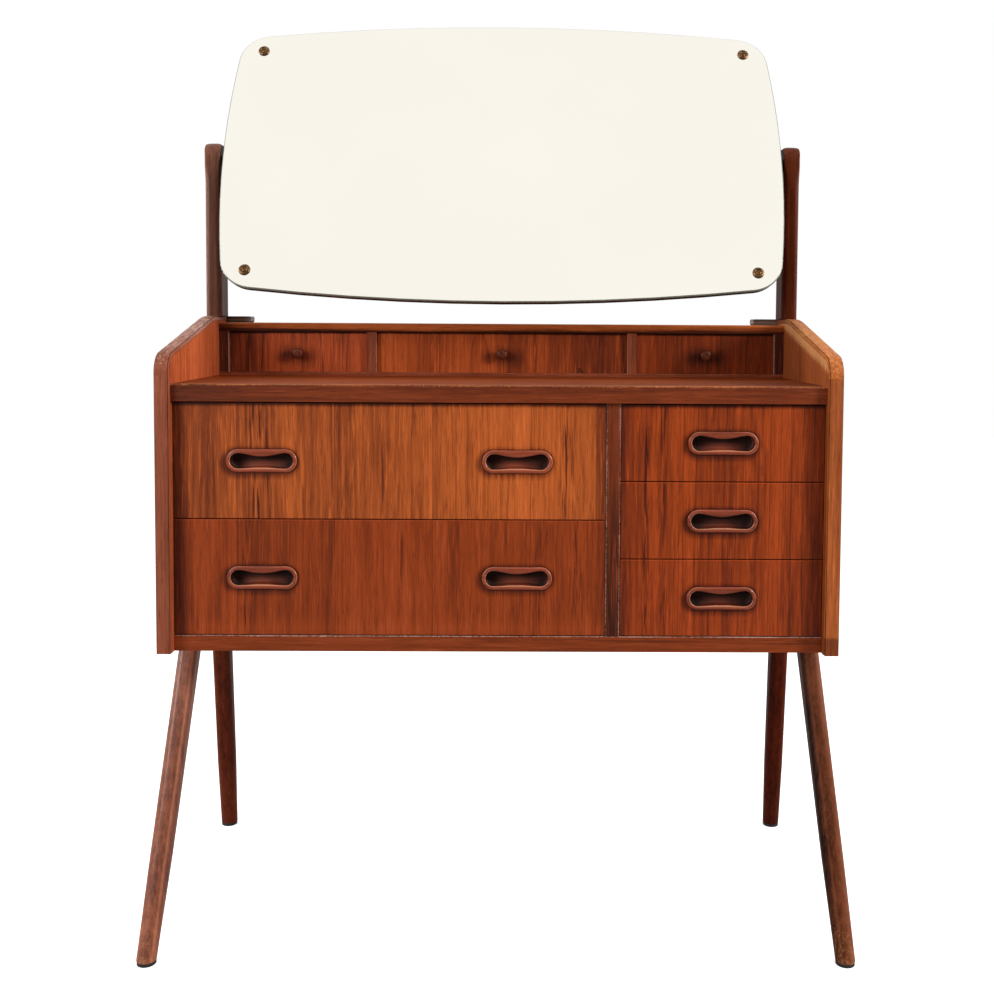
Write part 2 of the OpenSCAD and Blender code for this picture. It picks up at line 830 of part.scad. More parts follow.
// Outline of the mirror about its middle, drawn in by an inset
module mirror_outline(inset = 0) {
    flank = [mirror_w / 2 - flank_r, 0];
    edge = [0, mirror_h / 2 - edge_r];
    corner = meet(flank, edge, flank_r - corner_r, edge_r - corner_r);
    low = atan2(corner[1], corner[0] - flank[0]);
    high = atan2(corner[1] - edge[1], corner[0]);
    polygon(concat(
        arc(flank, flank_r - inset, -low, low),
        arc(corner, corner_r - inset, low, high),
        arc(edge, edge_r - inset, high, 180 - high),
        arc([-corner[0], corner[1]], corner_r - inset, 180 - high, 180 - low),
        arc(-flank, flank_r - inset, 180 - low, 180 + low),
        arc(-corner, corner_r - inset, 180 + low, 180 + high),
        arc(-edge, edge_r - inset, 180 + high, 360 - high),
        arc([corner[0], -corner[1]], corner_r - inset, 360 - high, 360 - low)
    ));
}

// Copies its children at the four screws of the mirror
module at_screws() {
    for (x = [-1, 1], z = [-1, 1])
        translate([x * (mirror_w / 2 - screw_in_x), 0, z * (mirror_h / 2 - screw_in_y) - mirror_drop])
            children();
}

module mirror_glass() {
    color(silvering) on_pivots() difference() {
        translate([0, 0, -mirror_drop]) facing(glass_y, backing_y) mirror_outline();
        at_screws() facing(glass_y - eps, backing_y + eps) circle(d = screw_d + 2);
    }
}

module mirror_backing() {
    color(plywood) on_pivots() difference() {
        translate([0, 0, -mirror_drop]) facing(backing_y, batten_y) mirror_outline(glass_lap);
        at_screws() facing(backing_y - eps, batten_y - 2) circle(r = screw_d / 2 + bolt_fit);
    }
}

// The battens glued to the back of the mirror board, bored for the pivot bolts
module mirror_battens() {
    color(teak_solid) on_pivots() both_sides() difference() {
        board(
            [batten_x - batten_w, batten_y, -batten_l / 2],
            [batten_x, batten_y + batten_t, batten_l / 2]
        );
        translate([batten_x - bolt_batten_l - eps, 0, 0]) rotate([0, 90, 0])
            cylinder(r = bolt_d / 2 + bolt_fit, h = bolt_batten_l + 2 * eps);
    }
}

// The mirror screws with their cup washers
module mirror_screws() {
    color(bronze) on_pivots() at_screws() translate([0, glass_y, 0]) rotate([90, 0, 0]) {
        cylinder(d1 = rosette_d, d2 = rosette_d * 0.62, h = rosette_h);
        mirror([0, 0, 1]) cylinder(d = screw_d, h = glass_t + backing_t - 3);
    }
}

side_left();
side_right();
side_edging_left();
side_edging_right();
table_top();
table_top_edging();
bottom_board();
bottom_edging();
partition();
partition_edging();
back_panel();
row_top_board();
row_base_board();
row_uprights();
drawer_runners();
leg_front_left();
leg_front_right();
leg_rear_left();
leg_rear_right();
leg_rails();
foot_glides();
post_left();
post_right();
post_blocks();
pivot_bolts();
pivot_spacers();
mirror_glass();
mirror_backing();
mirror_battens();
mirror_screws();
drawer_front(2, 1);  // wide_upper_front
drawer_box(2, 1);  // wide_upper_box
drawer_bottom(2, 1);  // wide_upper_bottom
pulls(2, 1);  // wide_upper_pulls
drawer_front(2, 0);  // wide_lower_front
drawer_box(2, 0);  // wide_lower_box
drawer_bottom(2, 0);  // wide_lower_bottom
pulls(2, 0);  // wide_lower_pulls
drawer_front(3, 2);  // narrow_top_front
drawer_box(3, 2);  // narrow_top_box
drawer_bottom(3, 2);  // narrow_top_bottom
pulls(3, 2);  // narrow_top_pull
drawer_front(3, 1);  // narrow_middle_front
drawer_box(3, 1);  // narrow_middle_box
drawer_bottom(3, 1);  // narrow_middle_bottom
pulls(3, 1);  // narrow_middle_pull
drawer_front(3, 0);  // narrow_bottom_front
drawer_box(3, 0);  // narrow_bottom_box
drawer_bottom(3, 0);  // narrow_bottom_bottom
pulls(3, 0);  // narrow_bottom_pull
small_front(-1);  // small_left_front
small_box(-1);  // small_left_box
small_knob(-1);  // small_left_knob
small_front(0);  // small_middle_front
small_box(0);  // small_middle_box
small_knob(0);  // small_middle_knob
small_front(1);  // small_right_front
small_box(1);  // small_right_box
small_knob(1);  // small_right_knob
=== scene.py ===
import json
import math
from collections import Counter, namedtuple

import bpy
from mathutils import Matrix, Vector

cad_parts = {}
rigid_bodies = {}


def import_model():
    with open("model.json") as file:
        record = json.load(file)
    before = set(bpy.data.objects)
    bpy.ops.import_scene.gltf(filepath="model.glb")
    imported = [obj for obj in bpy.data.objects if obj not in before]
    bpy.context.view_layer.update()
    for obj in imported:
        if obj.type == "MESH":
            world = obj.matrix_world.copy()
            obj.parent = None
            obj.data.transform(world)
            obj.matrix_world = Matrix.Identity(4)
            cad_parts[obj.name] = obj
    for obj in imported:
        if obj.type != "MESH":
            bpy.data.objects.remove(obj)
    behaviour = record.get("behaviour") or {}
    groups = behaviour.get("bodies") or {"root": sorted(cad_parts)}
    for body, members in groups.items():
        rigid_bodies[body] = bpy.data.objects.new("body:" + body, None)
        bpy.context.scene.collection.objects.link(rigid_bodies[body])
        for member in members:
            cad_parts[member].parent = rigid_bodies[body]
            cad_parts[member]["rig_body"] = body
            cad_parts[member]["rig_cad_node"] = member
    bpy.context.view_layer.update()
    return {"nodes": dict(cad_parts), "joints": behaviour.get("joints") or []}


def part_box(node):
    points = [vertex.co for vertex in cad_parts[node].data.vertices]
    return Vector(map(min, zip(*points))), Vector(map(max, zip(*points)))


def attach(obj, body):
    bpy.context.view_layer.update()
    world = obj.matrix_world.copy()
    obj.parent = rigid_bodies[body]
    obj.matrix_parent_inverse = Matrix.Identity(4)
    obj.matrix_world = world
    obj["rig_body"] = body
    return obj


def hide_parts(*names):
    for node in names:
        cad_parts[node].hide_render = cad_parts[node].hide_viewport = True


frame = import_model()
nodes = frame["nodes"]


# The camera stands a step and a half in front of the table, at the height of the small drawers,
# and looks down a little. The picture's longer side is 995 pixels, and the shift moves its middle.
picture_px = 995
focal_px = 1134.3
centre_px = (524.39, 380.35)
half_picture_px = (497.0, 497.5)
sensor_mm = 36
eye = (0.0198, -1.73507, 0.8802)
pitch, roll, yaw = math.radians(2.925), math.radians(0.333), math.radians(-0.512)
turn = Matrix.Rotation(yaw, 3, "Z")
ahead = turn @ Vector((0, math.cos(pitch), -math.sin(pitch)))
level = turn @ Vector((1, 0, 0))
upright = level.cross(ahead)
right = math.cos(roll) * level + math.sin(roll) * upright
above = -math.sin(roll) * level + math.cos(roll) * upright
camera_data = bpy.data.cameras.new("camera")
camera_data.sensor_width = sensor_mm
camera_data.lens = focal_px * sensor_mm / picture_px
camera_data.shift_x = (half_picture_px[0] - centre_px[0]) / picture_px
camera_data.shift_y = (centre_px[1] - half_picture_px[1]) / picture_px
camera = bpy.data.objects.new("camera", camera_data)
axes = Matrix((right, above, -ahead)).transposed().to_4x4()
camera.matrix_world = Matrix.Translation(eye) @ axes
bpy.context.scene.collection.objects.link(camera)
bpy.context.scene.camera = camera


# The light comes from two soft boxes in front, two dimmer ones at the sides, and a pale ceiling,
# as for a shop's picture. The world is that room: glossy wood sees it darker towards the floor,
# and the camera sees it white.
class Wire:
    """An output of a material's node. Sums written with it add Math nodes."""

    def __init__(self, tree, socket=None):
        self.tree = tree
        self.socket = socket

    def node(self, kind, settings=None, inputs=None, out=0):
        """Adds a node by its type, with its settings and the values or links of its sockets."""
        made = self.tree.nodes.new("ShaderNode" + kind)
        for key, value in (settings or {}).items():
            if key == "stops":
                ramp = made.color_ramp
                while len(ramp.elements) < len(value):
                    ramp.elements.new(0.5)
                for element, (place, colour) in zip(ramp.elements, value):
                    element.position = place
                    element.color = colour
            else:
                setattr(made, key, value)
        for key, value in (inputs or {}).items():
            if isinstance(value, Wire):
                self.tree.links.new(value.socket, made.inputs[key])
            else:
                made.inputs[key].default_value = value
        return Wire(self.tree, made.outputs[out] if made.outputs else None)

    def math(self, operation, *terms):
        return self.node("Math", {"operation": operation}, dict(enumerate(terms)))

    def __add__(self, other):
        return self.math("ADD", self, other)

    def __sub__(self, other):
        return self.math("SUBTRACT", self, other)

    def __rsub__(self, other):
        return self.math("SUBTRACT", other, self)

    def __mul__(self, other):
        return self.math("MULTIPLY", self, other)

    def __gt__(self, other):
        return self.math("GREATER_THAN", self, other)

    def __lt__(self, other):
        return self.math("LESS_THAN", self, other)

    def __pow__(self, other):
        return self.math("POWER", self, other)

    def __abs__(self):
        return self.math("ABSOLUTE", self)

    __radd__ = __add__
    __rmul__ = __mul__


def clamp(value):
    """Holds a value between 0 and 1."""
    return value.node("Clamp", inputs={"Value": value})


def tone(red, green, blue):
    """A colour as it shows on a screen, 0 to 255, made linear for a shader."""
    return tuple(
        c / 12.92 if c <= 0.04045 else ((c + 0.055) / 1.055) ** 2.4
        for c in (red / 255, green / 255, blue / 255)
    ) + (1.0,)


world = bpy.data.worlds.new("room")
world.use_nodes = True
world.node_tree.nodes.clear()
sky = Wire(world.node_tree)
look = sky.node("TexCoord", out="Generated")
to_back = sky.node("SeparateXYZ", inputs={0: look}, out="Y")
to_top = sky.node("SeparateXYZ", inputs={0: look}, out="Z")
low_front = clamp(1.5 - to_top * 4.0) * clamp(0.35 - to_back * 1.6)
seen = sky.node("LightPath", out="Is Camera Ray")
mirrored = sky.node("LightPath", out="Is Glossy Ray")
through = sky.node("LightPath", out="Is Transmission Ray")
shown = seen.math("MAXIMUM", seen, through)
ceiling = clamp(to_top * 1.8 - 0.5) * 0.65
dim = 0.14 - low_front * 0.08
wall = clamp(to_top * 3 - 0.4) * 0.55 + 0.45
room = dim + ceiling + mirrored * (1.0 - ceiling - dim) * (1 - low_front * 0.9) * wall
walls = sky.node("Background", inputs={"Color": (1.0, 0.985, 0.96, 1.0), "Strength": room})
white = sky.node("Background", inputs={"Color": (1.0, 1.0, 1.0, 1.0), "Strength": 1.0})
both = sky.node("MixShader", inputs={0: shown, 1: walls, 2: white})
sky.node("OutputWorld", inputs={"Surface": both})
bpy.context.scene.world = world

Lamp = namedtuple("Lamp", "name place aim size watts colour")
lamps = (
    Lamp("left", (-2.5, -2.1, 1.6), (0.0, 0.0, 0.8), (1.2, 1.4), 50.0, (1.0, 0.98, 0.97)),
    Lamp("right", (2.8, -1.45, 1.75), (0.2, 0.0, 0.7), (0.6, 0.7), 66.0, (1.0, 0.97, 0.93)),
    Lamp("left_rim", (-2.4, 0.1, 1.2), (-0.4, 0.0, 0.6), (0.7, 1.4), 26.0, (1.0, 0.97, 0.96)),
    Lamp("right_rim", (2.4, 0.1, 1.2), (0.4, 0.0, 0.6), (0.7, 1.4), 22.0, (1.0, 0.96, 0.92)),
)
for name, place, aim, size, watts, colour in lamps:
    lamp_data = bpy.data.lights.new(name, "AREA")
    lamp_data.shape = "RECTANGLE"
    lamp_data.size, lamp_data.size_y = size
    lamp_data.energy = watts
    lamp_data.color = colour
    lamp = bpy.data.objects.new(name, lamp_data)
    lamp.location = place
    lamp.rotation_euler = (Vector(aim) - Vector(place)).to_track_quat("-Z", "Y").to_euler()
    bpy.context.scene.collection.objects.link(lamp)
bpy.context.scene.view_settings.view_transform = "Standard"


# The floor is a plain pale sheet that keeps the soft shadow of the feet. To the camera it glows
# a little, so that it runs out into the white background.
def blank_material(name):
    """A new material without nodes, and a Wire to add them with."""
    material = bpy.data.materials.new(name)
    material.use_nodes = True
    material.node_tree.nodes.clear()
    return material, Wire(material.node_tree)


floor_size = 14
floor_grey, floor_grey_seen = 0.36, 0.86
floor_glow = 0.6
bpy.ops.object.select_all(action="DESELECT")
bpy.ops.mesh.primitive_plane_add(size=floor_size, location=(0, 0, 0))
floor = bpy.context.object
floor.name = "floor"
floor_paint, pale = blank_material("pale_floor")
to_camera = pale.node("LightPath", out="Is Camera Ray")
grey = to_camera * (floor_grey_seen - floor_grey) + floor_grey
sheet_grey = pale.node("CombineColor", inputs={channel: grey for channel in range(3)})
sheet = pale.node("BsdfDiffuse", inputs={"Color": sheet_grey})
glow = pale.node("Emission", inputs={"Color": (1, 1, 1, 1), "Strength": to_camera * floor_glow})
pale.node("OutputMaterial", inputs={"Surface": pale.node("AddShader", inputs={0: sheet, 1: glow})})
floor.data.materials.append(floor_paint)


# The case is of blockboard with teak veneer, whose grain runs up the sides and along the boards.
# It is oiled, not varnished, so it is only a little glossy and its pores show.
Fade = namedtuple("Fade", "axis middle reach amount steep", defaults=(1,))
PalePlace = namedtuple("PalePlace", "axis middle reach amount")
Streak = namedtuple("Streak", "middle reach depth")
ShadeRing = namedtuple("ShadeRing", "x z half_span radius reach amount")


def near_to(coordinate, middle, reach):
    """A mask that is 1 at the middle and falls to 0 at the reach."""
    return clamp(1 - abs(coordinate - middle) * (1 / reach))


def noise(point, scale, detail, rough_detail=0.55, distortion=0.0):
    """Noise that is read at a point."""
    return point.node(
        "TexNoise",
        inputs={
            "Vector": point,
            "Scale": scale,
            "Detail": detail,
            "Roughness": rough_detail,
            "Distortion": distortion,
        },
    )


def mixed(share, first, second, blend="MIX"):
    """The first colour, with a share of the second one mixed into it."""
    return share.node(
        "Mix", {"data_type": "RGBA", "blend_type": blend}, {0: share, 6: first, 7: second}, out=2
    )


def grain_point(wood, xyz, grain, shift, bend):
    """Where the noise is read, drawn out along the grain, and how far across the grain it is."""
    x, y, z = xyz["X"], xyz["Y"], xyz["Z"]
    drawn = 0.045
    pace = {axis: drawn if axis == grain else 1 for axis in "XYZ"}
    flow_y = y * pace["Y"] + shift
    flow_z = z * pace["Z"]
    across = {"X": y + z, "Y": x + z, "Z": x + y}[grain]
    if bend:
        turned = z > bend
        flow_y = turned * (y * drawn - y) + y + shift
        flow_z = turned * (z - z * drawn) + z * drawn
        across = x + turned * (z - y) + y
    return wood.node("CombineXYZ", inputs={"X": x * pace["X"], "Y": flow_y, "Z": flow_z}), across


def late_wood(ring, seed):
    """The dark end of each year's growth. A few years are much darker than the others."""
    year = ring.math("FLOOR", ring)
    strength = ring.node("TexWhiteNoise", {"noise_dimensions": "1D"}, {"W": year * 0.37 + seed})
    return ((ring - year) ** 6) * (0.12 + (strength ** 5) * 0.7)


def leaf_rings(within, width, leaf_tone, z):
    """The growth rings of a flat-cut leaf of veneer, which close to arches."""
    aside = (within - 0.5) * width + (leaf_tone - 0.5) * (width * 0.9)
    deep = (z - 0.5) * 0.09 + (leaf_tone - 0.5) * 0.03
    return ((aside ** 2 + deep ** 2) ** 0.5) * 120


def painted_shade_round(x, z, shade_ring):
    """How much painted shade darkens a front round a pull or beside a knob."""
    over = abs(x - shade_ring.x) - shade_ring.half_span
    over = over.math("MAXIMUM", over, 0.0)
    far = (over ** 2 + (z - shade_ring.z) ** 2) ** 0.5
    far = far.math("MAXIMUM", far, shade_ring.radius)
    return near_to(far, shade_ring.radius, shade_ring.reach) * shade_ring.amount


def pale_specks(place, xyz, streak, places):
    """A mask of pale specks on corners and edges: wear on some pieces, a painted highlight on
    others.
    """
    pale_share = (noise(place, scale=420, detail=3, rough_detail=0.5) - 0.5) * 2.4
    pale_share = pale_share + (streak - 0.5) * 2.0 - 1.0
    for axis, middle, reach, amount in places:
        pale_share = pale_share + (near_to(xyz[axis], middle, reach) ** 0.7) * amount
    return clamp(pale_share)


def wood_stops(light, dark):
    """The colours of the figure, from its darkest lines to its lightest threads."""
    darkest = tuple(0.4 * c for c in dark[:3]) + (1,)
    middling = tuple(0.45 * a + 0.55 * b for a, b in zip(dark, light))
    lightest = tuple(min(1.0, 1.4 * c + 0.012) for c in light[:3]) + (1,)
    return [(0.0, darkest), (0.22, dark), (0.45, middling), (0.6, light), (0.95, lightest)]


def teak(name, grain, light, dark, seed, leaves=None, rough=0.45, figure=1.0, bend=None,
         streaks=(), fades=(), wear_and_highlight=None, shine=0.22, hollow=False, shade_rings=(), lean=None):
    """Teak with its grain along an axis of the object.

    leaves: width of the veneer leaves along X, and the place of one seam. bend: the height over
    which the grain turns from Z to Y. figure: how much the rings and threads show. streaks: dark
    lines, by their place across the grain. fades: lighter or darker ends, many of them painted
    light and shade. wear_and_highlight: a pale tone that shows in specks, and where; on some pieces
    it is wear, on others a painted highlight. shade_rings: where painted shade darkens a front
    round
    a pull or knob. lean: makes a fourth axis L, as an axis less a share of another one, for what
    runs aslant. hollow: the mesh says where a painted highlight lies on the lips, and where painted
    shade darkens the hollow."""
    material, wood = blank_material(name)
    place = wood.node("TexCoord", out="Object")
    xyz = {axis: wood.node("SeparateXYZ", inputs={0: place}, out=axis) for axis in "XYZ"}
    x, z = xyz["X"], xyz["Z"]
    if lean:
        xyz["L"] = xyz[lean[0]] - xyz[lean[1]] * lean[2]
    shift = seed
    if leaves:
        width, seam = leaves
        leaf = (x - seam) * (1 / width)
        number = leaf.math("FLOOR", leaf)
        within = leaf - number
        shift = number * 1.73 + seed
        leaf_tone = wood.node("TexWhiteNoise", {"noise_dimensions": "1D"}, {"W": number + seed})
    point, across = grain_point(wood, xyz, grain, shift, bend)

    broad = noise(point, scale=11, detail=2, rough_detail=0.5, distortion=0.6)
    band = noise(point, scale=52, detail=3, rough_detail=0.6)
    streak = noise(point, scale=210, detail=4, rough_detail=0.65)
    fine = noise(point, scale=900, detail=2)
    wave = noise(point, scale=9, detail=1.5, rough_detail=0.5, distortion=0.4)
    thread = clamp((noise(point, scale=430, detail=1.5) - 0.57) * 7)
    if leaves:
        ring = leaf_rings(within, width, leaf_tone, z) + wave * 7
    else:
        ring = across * 110 + wave * 8
    late = late_wood(ring + band * 0.5, seed)
    mix = 0.53 + (broad - 0.5) * 0.85 + (band - 0.5) * 0.42 + (streak - 0.5) * 0.7
    mix = mix - late * (0.42 * figure) + thread * (0.2 * figure)
    wander = (x if leaves else across) + (wave - 0.5) * 0.03
    for middle, reach, depth in streaks:
        lines = clamp((noise(point, scale=330, detail=2.5) - 0.5) * 9)
        mix = mix - near_to(wander, middle, reach) * lines * depth
    if leaves:
        mix = mix + leaf_tone * 0.10 - 0.05
    for axis, middle, reach, amount, steep in fades:
        share = clamp(near_to(xyz[axis], middle, reach) * steep)
        mix = mix + (share ** 1.5) * amount
    # Painted shade round the pulls and knobs.
    for shade_ring in shade_rings:
        mix = mix - painted_shade_round(x, z, shade_ring)

    base = wood.node("ValToRGB", {"stops": wood_stops(light, dark)}, {"Fac": mix})
    pore = clamp((fine - 0.56) * 10)
    base = mixed(pore * 0.42, base, tone(140, 96, 76), "MULTIPLY")
    if leaves:
        seam_half = 0.00035
        to_seam = within.math("MINIMUM", within, 1 - within)
        base = mixed((to_seam < seam_half / width) * 0.6, base, tone(110, 78, 70), "MULTIPLY")
    roughness = pore * 0.18 + streak * 0.16 + (rough - 0.08)
    # Pale specks: wear on some pieces, a painted highlight on others.
    if wear_and_highlight:
        pale_tone, places = wear_and_highlight
        pale_share = pale_specks(place, xyz, streak, places)
        base = mixed(pale_share * 0.7, base, pale_tone)
        roughness = roughness + pale_share * 0.15
    # The pull's painted lip highlight and painted hollow shade, as its mesh gives them.
    if hollow:
        lip_highlight = wood.node("Attribute", {"attribute_name": "worn_lip"}, out="Fac")
        base = mixed(lip_highlight, base, tone(214, 150, 116))
        hollow_shade_share = wood.node("Attribute", {"attribute_name": "hollow"}, out="Fac")
        base = mixed(hollow_shade_share, base, tone(17, 4, 2))
        roughness = roughness + hollow_shade_share * 0.6
    height = streak * 0.6 - pore * 0.5 - late * 0.5
    bump = wood.node("Bump", inputs={"Strength": 0.14, "Distance": 0.0006, "Height": height})
    shader = wood.node(
        "BsdfPrincipled",
        inputs={
            "Base Color": base,
            "Roughness": roughness,
            "Normal": bump,
            "Specular IOR Level": shine,
        },
    )
    wood.node("OutputMaterial", inputs={"Surface": shader})
    return material


near = 0.00002


def alone(*objects):
    """Leaves only these objects selected, with the first one active."""
    bpy.ops.object.select_all(action="DESELECT")
    for piece in objects:
        piece.select_set(True)
    bpy.context.view_layer.objects.active = objects[0]


def mark_outer_edges(piece, low, high):
    """Marks the edges between two faces of the node's box, so that a bevel breaks only them."""
    weights = piece.data.attributes.new("bevel_weight_edge", "FLOAT", "EDGE")
    uses = Counter(key for face in piece.data.polygons for key in face.edge_keys)
    for edge in piece.data.edges:
        a, b = (piece.data.vertices[i].co for i in edge.vertices)
        shared = [
            k for k in range(3) for end in (low, high)
            if abs(a[k] - end[k]) < near and abs(b[k] - end[k]) < near
        ]
        weights.data[edge.index].value = float(len(shared) > 1)
        edge.use_edge_sharp = uses[edge.key] == 1


def finish_node(name, material, arris=0.0, turn_angle=30, outer=False):
    """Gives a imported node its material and, if asked, softly broken edges.

    outer: only the edges of the node's box are broken, not those of the holes in it."""
    piece = nodes[name]
    piece.data.materials.clear()
    piece.data.materials.append(material)
    alone(piece)
    if piece.data.has_custom_normals:
        bpy.ops.mesh.customdata_custom_splitnormals_clear()
    if arris:
        weld = piece.modifiers.new("weld", "WELD")
        weld.merge_threshold = 0.00001
        bevel = piece.modifiers.new("arris", "BEVEL")
        bevel.width = arris
        bevel.segments = 2
        bevel.harden_normals = True
        if outer:
            mark_outer_edges(piece, *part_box(name))
            bevel.limit_method = "WEIGHT"
        else:
            bevel.limit_method = "ANGLE"
            bevel.angle_limit = math.radians(turn_angle)
    bpy.ops.object.shade_smooth_by_angle(angle=math.radians(turn_angle))


slope = 0.2263
low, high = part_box("side_left")
side_left = teak(
    "teak_side_left", "Z", tone(204, 102, 56), tone(136, 55, 30), 3.1, figure=0.8,
    fades=(Fade("X", low.x, 0.004, -0.36, 4),),
)
side_right = teak(
    "teak_side_right", "Z", tone(154, 80, 38), tone(92, 41, 16), 8.4, lean=("Z", "Y", slope),
    wear_and_highlight=(tone(226, 164, 106), (PalePlace("L", 0.869, 0.017, 1.5), PalePlace("L", 0.86, 0.04, 0.9))),
)
table_top = teak(
    "teak_table_top", "X", tone(140, 62, 18), tone(75, 27, 6), 5.2, rough=0.5, shine=0.08
)
finish_node("side_left", side_left)
finish_node("side_right", side_right)
finish_node("table_top", table_top)
finish_node("bottom_board", teak("teak_bottom", "X", tone(150, 76, 42), tone(88, 40, 20), 1.7))
finish_node("partition", teak("teak_partition", "Z", tone(140, 70, 40), tone(80, 38, 20), 2.9))


# Solid teak strips edge the boards. Those of the sides run up the front, turn over the rounded
# corner and follow the slope to the back. Pale specks on them are partly wear and partly a
# painted sheen, and the left one has a painted highlight along its inner arris.
strip_bend = 0.806
low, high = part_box("side_edging_left")
edging_left = teak(
    "teak_edging_left", "Z", tone(138, 71, 46), tone(92, 41, 24), 4.4, bend=strip_bend,
    fades=(Fade("Z", 0.81, 0.12, 0.1), Fade("X", high.x, 0.0009, 0.45, 6)),
    wear_and_highlight=(tone(232, 200, 184), (PalePlace("Z", 0.87, 0.085, 1.45),)),
)
edging_right = teak(
    "teak_edging_right", "Z", tone(188, 100, 47), tone(126, 59, 26), 6.3, bend=strip_bend,
    fades=(Fade("Z", low.z, 0.028, -0.3, 6),),
    wear_and_highlight=(tone(226, 160, 84), (PalePlace("Z", 0.86, 0.1, 1.5), PalePlace("Z", 0.49, 0.14, 0.75))),
)
finish_node("side_edging_left", edging_left, 0.0015)
finish_node("side_edging_right", edging_right, 0.0015)
low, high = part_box("table_top_edging")
# The pale golden line along its top arris is a painted highlight.
top_edging = teak(
    "teak_top_edging", "X", tone(126, 53, 21), tone(68, 24, 8), 7.7,
    fades=(Fade("X", low.x, 0.2, -0.12),),
    wear_and_highlight=(tone(214, 132, 70), (PalePlace("Z", high.z, 0.0045, 1.6),)),
)
finish_node("table_top_edging", top_edging)
low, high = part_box("bottom_edging")
# The whitish line along its top arris is a painted highlight.
bottom_edging = teak(
    "teak_bottom_edging", "X", tone(137, 57, 18), tone(88, 32, 8), 9.1,
    wear_and_highlight=(tone(240, 214, 204), (PalePlace("Z", high.z, 0.0016, 1.7),)),
)
finish_node("bottom_edging", bottom_edging, 0.0012)
# Whitish lines along the front arrises of the partition's edging are painted highlights.
corners = tuple(PalePlace("X", end.x, 0.003, 1.6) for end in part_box("partition_edging"))
partition_edging = teak(
    "teak_partition_edging", "Z", tone(118, 50, 20), tone(36, 10, 4), 2.2, figure=2.2,
    fades=(Fade("Z", 0.79, 0.2, 0.25), Fade("Z", 0.43, 0.15, -0.1)),
    wear_and_highlight=(tone(214, 170, 152), corners),
)
finish_node("partition_edging", partition_edging, 0.001)


# The back is thin plywood, nailed on, with a plain unpolished face.
plywood = teak(
    "plywood_back", "X", tone(176, 128, 84), tone(128, 84, 50), 11.0, rough=0.7, figure=0.6
)
finish_node("back_panel", plywood)


# The row of small drawers has a thin base, upright ends and dividers, and a top board with a
# rounded front edge that catches the light.
low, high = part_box("row_top_board")
# Painted highlight on the top board's upper edge and along its middle, and painted shade under its
# rounded nose; it is also darker towards its left end.
row_top = teak(
    "teak_row_top", "X", tone(178, 92, 42), tone(96, 42, 18), 12.6, rough=0.42, shine=0.1,
    fades=(
        Fade("X", -0.13, 0.5, 0.34),
        Fade("X", low.x, 0.2, -0.46),
        Fade("Z", low.z, 0.008, -0.85),
        Fade("Z", high.z, 0.005, 0.35),
    ),
)
finish_node("row_top_board", row_top)
low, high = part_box("row_base_board")
# The pale line along its top arris is a painted highlight.
row_base = teak(
    "teak_row_base", "X", tone(134, 62, 36), tone(66, 28, 17), 13.3,
    wear_and_highlight=(tone(204, 132, 96), (PalePlace("Z", high.z, 0.0014, 1.6),)),
)
finish_node("row_base_board", row_base)
low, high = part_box("row_uprights")
upright_arrises = (-0.435, -0.2, 0.2, 0.435)
# The ends of the row are painted darker, as shade on the outer uprights, and pale lines along the
# arrises are painted highlights.
row_uprights = teak(
    "teak_row_uprights", "Z", tone(148, 76, 46), tone(76, 31, 18), 14.8,
    fades=(Fade("X", low.x, 0.022, -0.3, 6), Fade("X", high.x, 0.022, -0.42, 6)),
    wear_and_highlight=(tone(208, 160, 138), tuple(PalePlace("X", x, 0.0014, 1.6) for x in upright_arrises)),
)
finish_node("row_uprights", row_uprights, 0.0008)


# Each large drawer has a veneered front, whose leaves stand side by side, a box of plain light
# hardwood with grooved sides, and a thin plywood bottom. Hardwood runners carry it.
hardwood = teak(
    "plain_hardwood", "Y", tone(206, 166, 118), tone(160, 116, 72), 15.5, rough=0.6, figure=0.5
)
thin_ply = teak(
    "thin_plywood", "X", tone(190, 146, 98), tone(150, 106, 66), 16.1, rough=0.65, figure=0.6
)
finish_node("drawer_runners", hardwood)
pull_length, pull_height = 0.098, 0.0325
pull_half = (pull_length / 2, pull_height / 2)
span_half = pull_half[0] - pull_half[1]
front_arris = 0.0008
shadow_shift = 0.0026
wide_drawers = ("wide_upper", "wide_lower")
narrow_drawers = ("narrow_top", "narrow_middle", "narrow_bottom")


def pull_node(drawer):
    """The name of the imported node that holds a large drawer's pull or pulls."""
    return drawer + ("_pulls" if drawer in wide_drawers else "_pull")


def pull_middles(drawer):
    """X of the middle of each pull on a large drawer."""
    low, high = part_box(pull_node(drawer))
    return sorted({round(low.x + pull_half[0], 5), round(high.x - pull_half[0], 5)})


Veneer = namedtuple("Veneer", "seed leaves light dark streaks bands")
narrow_veneer = Veneer(
    43.6, (0.125, 0.249), tone(168, 68, 18), tone(94, 31, 7),
    (Streak(0.204, 0.007, 0.5), Streak(0.231, 0.009, 0.3)),
    (Fade("X", 0.263, 0.022, 0.28), Fade("X", 0.354, 0.022, -0.1), Fade("X", 0.389, 0.025, 0.32)),
)
